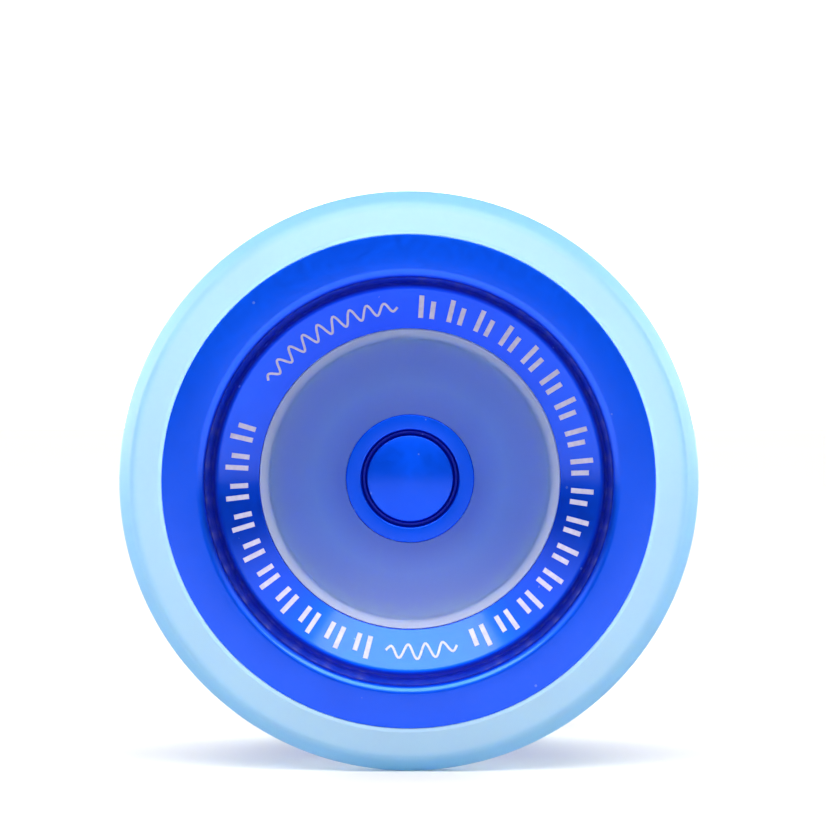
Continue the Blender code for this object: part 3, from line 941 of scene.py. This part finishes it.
def polycarbonate():
    """Frosted polycarbonate, pale cyan through its depth, with a faint moulded cloudiness."""
    mat = Nodes("frosted_polycarbonate")
    mat.put(IOR=PLASTIC_IOR, Specular_IOR_Level=0.22)
    mat.put(Coat_Weight=0.6, Coat_Roughness=0.35, Coat_IOR=PLASTIC_IOR)
    mat.join(groove_flanks(mat), mat.shader.inputs["Coat Normal"])
    clear = ramp(mat.tree, mat.radius(), 0.0, RIM_RADIUS, CLEARNESS_BY_RADIUS)
    mat.join(clear, mat.shader.inputs["Transmission Weight"])
    # The base colour is the plastic's tint with painted light and shade by radius, and a painted
    # highlight on the lip.
    mat.join(mat.tones_by_radius(PLASTIC_TINT_AND_PAINTED_LIGHT), mat.shader.inputs["Base Color"])
    cloud = mat.noise(FROST_CLOUD_SCALE, detail=4.0)
    mat.join(mat.drift(cloud, *FROST_ROUGHNESS), mat.shader.inputs["Roughness"])
    frost = mat.noise(FROST_GRAIN_SCALE)
    mat.join(mat.bump(frost, FROST_HEIGHT), mat.shader.inputs["Normal"])
    volume = mat.make("ShaderNodeVolumeAbsorption", Density=DEPTH_DENSITY, Color=DEPTH_COLOUR)
    haze = mat.make("ShaderNodeVolumeScatter", Density=HAZE_DENSITY, Color=HAZE_COLOUR)
    depth = mat.make("ShaderNodeAddShader")
    mat.join(volume.outputs[0], depth.inputs[0])
    mat.join(haze.outputs[0], depth.inputs[1])
    mat.join(depth.outputs[0], mat.output.inputs["Volume"])
    return mat.material


def laser_mark():
    """Bare, matt metal where a laser has burnt the blue away."""
    mat = Nodes("laser_marked_aluminium")
    mat.put(Metallic=0.2, Roughness=0.7)
    grain = mat.noise(MARK_GRAIN_SCALE, detail=3.0)
    mat.join(mat.blend(mat.drift(grain, 0.0, 1.0), *MARK_TONES), mat.shader.inputs["Base Color"])
    mat.join(mat.bump(grain, MARK_GRAIN_HEIGHT), mat.shader.inputs["Normal"])
    return mat.material


def silicone():
    mat = Nodes("white_silicone")
    mat.put(Roughness=0.6, Subsurface_Weight=0.4, Subsurface_Scale=0.001, IOR=1.41)
    cloud = mat.noise(SILICONE_CLOUD_SCALE, detail=4.0)
    mat.join(mat.cloudy(cloud, SILICONE_TONES), mat.shader.inputs["Base Color"])
    grain = mat.noise(SILICONE_GRAIN_SCALE)
    mat.join(mat.bump(grain, MATT_GRAIN_HEIGHT), mat.shader.inputs["Normal"])
    return mat.material


def steel(name, tones, roughness):
    """Turned and ground steel."""
    mat = Nodes(name)
    mat.put(Metallic=1.0, Anisotropic=0.4)
    cloud = mat.noise(STEEL_CLOUD_SCALE, detail=4.0)
    mat.join(mat.cloudy(cloud, tones), mat.shader.inputs["Base Color"])
    mat.join(mat.drift(cloud, roughness, roughness + 0.1), mat.shader.inputs["Roughness"])
    mat.turned_tangent()
    lines = turning_lines(mat, STEEL_TURNING_PITCH, STEEL_TURNING_HEIGHT)
    mat.join(lines, mat.shader.inputs["Normal"])
    return mat.material


def nylon():
    mat = Nodes("cage_nylon")
    mat.put(Roughness=0.5, Subsurface_Weight=0.2, Subsurface_Scale=0.0005)
    cloud = mat.noise(NYLON_CLOUD_SCALE, detail=4.0)
    mat.join(mat.cloudy(cloud, NYLON_TONES), mat.shader.inputs["Base Color"])
    mat.join(mat.bump(cloud, MATT_GRAIN_HEIGHT), mat.shader.inputs["Normal"])
    return mat.material


def floor_finish():
    mat = Nodes("white_floor")
    mat.put(Roughness=0.7)
    cloud = mat.noise(FLOOR_CLOUD_SCALE, detail=3.0)
    mat.join(mat.blend(mat.drift(cloud, 0.0, 1.0), *FLOOR_TONES), mat.shader.inputs["Base Color"])
    return mat.material


# ---------------------------------------------------------------- assembly

RING_BLUE = anodised("blue_anodised_ring", RING_LOOK, RING_PAINTED_SHADE_RADII)
HUB_BLUE = anodised("blue_anodised_hub", HUB_LOOK, HUB_PAINTED_SHADE_RADII)
CORE_BLUE = anodised("blue_anodised_core", CORE_LOOK)
FROSTED = polycarbonate()
MARKED = laser_mark()
SILICONE = silicone()
BEARING_STEEL = steel("bearing_steel", BEARING_TONES, BEARING_ROUGHNESS)
AXLE_STEEL = steel("axle_steel", AXLE_TONES, AXLE_ROUGHNESS)
NYLON = nylon()


def half(prefix, side):
    """One half's own pieces, and its side of the bearing. The side is -1 at the front, 1 at the rear."""
    body = f"{prefix}_half"
    blue = "blue_anodised_aluminium"
    parts = (
        ("shell", shell_outline, FROSTED, "frosted_polycarbonate"),
        ("weight_ring", ring_outline, RING_BLUE, blue),
        ("hub_cap", hub_outline, HUB_BLUE, blue),
        ("core", core_outline, CORE_BLUE, blue),
        ("response_pad", pad_outline, SILICONE, "white_silicone"),
    )
    for part, outline, finish, slot in parts:
        name = f"{prefix}_{part}"
        add(turned(f"{name}_fine", finish, outline(), side), body, slot, name)
    add(tick_marks(f"{prefix}_tick_marks", side, MARKED), body, blue)
    add(wave_marks(f"{prefix}_wave_marks", side, MARKED), body, blue)
    shield = f"{prefix}_bearing_shield"
    fine = turned(f"{shield}_fine", BEARING_STEEL, shield_outline(), side, SHIELD_SEGMENTS)
    add(fine, "bearing_outer", "bearing_steel", shield)
    wire = f"{prefix}_snap_ring"
    add(snap_ring(f"{wire}_fine", side, BEARING_STEEL), "bearing_outer", "bearing_steel", wire)


def bearing():
    """The bearing's rings and balls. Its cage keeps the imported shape, with a finish of its own."""
    steel_slot = "bearing_steel"
    rings = (
        ("outer", outer_ring_outline, OUTER_RING_SEGMENTS),
        ("inner", inner_ring_outline, INNER_RING_SEGMENTS),
    )
    for which, outline, segments in rings:
        name = f"bearing_{which}_ring"
        ring = turned(f"{name}_fine", BEARING_STEEL, outline(), 1, segments)
        add(ring, f"bearing_{which}", steel_slot, name)
    for index in range(BALL_COUNT):
        name = f"bearing_ball_{index + 1:02d}"
        body = f"ball_{index + 1:02d}"
        add(ball(f"{name}_fine", index, BEARING_STEEL), body, steel_slot, name)
    cage = frame["nodes"]["bearing_cage"]
    for index in range(len(cage.material_slots)):
        cage.material_slots[index].material = NYLON


def stage():
    """A plain floor under the two rims."""
    bm = bmesh.new()
    bmesh.ops.create_grid(bm, x_segments=1, y_segments=1, size=FLOOR_REACH)
    floor = piece_from("floor", bm, floor_finish())
    floor.location.z = CAD_BOX[0][2]


def softbox():
    """A wide soft light above and in front, aimed at the yo-yo's middle."""
    lamp = bpy.data.lights.new("softbox_top", "AREA")
    lamp.shape = "RECTANGLE"
    lamp.size, lamp.size_y = SOFTBOX_SIZE
    lamp.energy = SOFTBOX_POWER
    obj = bpy.data.objects.new("softbox_top", lamp)
    obj.location = SOFTBOX_PLACE
    obj.rotation_euler = (-obj.location).to_track_quat("-Z", "Y").to_euler()
    bpy.context.scene.collection.objects.link(obj)


def world():
    """A plain white studio: bright behind the yo-yo and dim in front of it, with pale upper sides."""
    made = bpy.data.worlds.new("studio")
    made.use_nodes = True
    tree = made.node_tree
    back = tree.nodes["Background"]
    place = tree.nodes.new("ShaderNodeTexCoord")
    split = tree.nodes.new("ShaderNodeSeparateXYZ")
    tree.links.new(place.outputs["Generated"], split.inputs[0])
    aside = tree.nodes.new("ShaderNodeMath")
    aside.operation = "ABSOLUTE"
    tree.links.new(split.outputs[0], aside.inputs[0])
    front = tree.nodes.new("ShaderNodeMath")
    front.operation = "MULTIPLY"
    tree.links.new(ramp(tree, split.outputs[2], 0.0, 1.0, FRONT_BY_HEIGHT), front.inputs[0])
    tree.links.new(ramp(tree, aside.outputs[0], 0.0, 1.0, SIDE_SHADE), front.inputs[1])
    behind = ramp(tree, split.outputs[1], -1.0, 1.0, BEHIND_SHARE)
    mix = tree.nodes.new("ShaderNodeMix")
    tree.links.new(behind, mix.inputs[0])
    tree.links.new(front.outputs[0], mix.inputs[2])
    rear = tree.nodes.new("ShaderNodeMath")
    rear.operation = "MULTIPLY"
    rear.inputs[1].default_value = BACK_BRIGHTNESS / WORLD_SCALE
    tree.links.new(ramp(tree, split.outputs[2], 0.0, 1.0, BACK_BY_HEIGHT), rear.inputs[0])
    tree.links.new(rear.outputs[0], mix.inputs[3])
    tree.links.new(mix.outputs[0], back.inputs["Color"])
    back.inputs["Strength"].default_value = WORLD_SCALE
    bpy.context.scene.world = made


def camera():
    """A long lens a little above the yo-yo and a touch to its right."""
    lens = bpy.data.cameras.new("camera")
    lens.lens = CAMERA_LENS
    lens.sensor_width = CAMERA_SENSOR
    lens.shift_x, lens.shift_y = CAMERA_SHIFT
    lens.clip_start = CAMERA_CLIP_START
    obj = bpy.data.objects.new("camera", lens)
    bpy.context.scene.collection.objects.link(obj)
    level = math.cos(CAMERA_ELEVATION)
    across, along = math.sin(CAMERA_AZIMUTH) * level, -math.cos(CAMERA_AZIMUTH) * level
    obj.location = Vector((across, along, math.sin(CAMERA_ELEVATION))) * CAMERA_DISTANCE
    obj.rotation_euler = (-obj.location).to_track_quat("-Z", "Y").to_euler()
    bpy.context.scene.camera = obj


half("front", -1)
half("rear", 1)
bearing()
add(axle("axle_fine", AXLE_STEEL), "front_half", "axle_steel", "axle")
stage()
world()
softbox()
camera()
bpy.context.scene.view_settings.view_transform = "Standard"
cycles = bpy.context.scene.cycles
cycles.max_bounces = LIGHT_BOUNCES
cycles.transmission_bounces = LIGHT_BOUNCES
cycles.glossy_bounces = LIGHT_BOUNCES
cycles.diffuse_bounces = DIFFUSE_BOUNCES
cycles.volume_bounces = VOLUME_BOUNCES
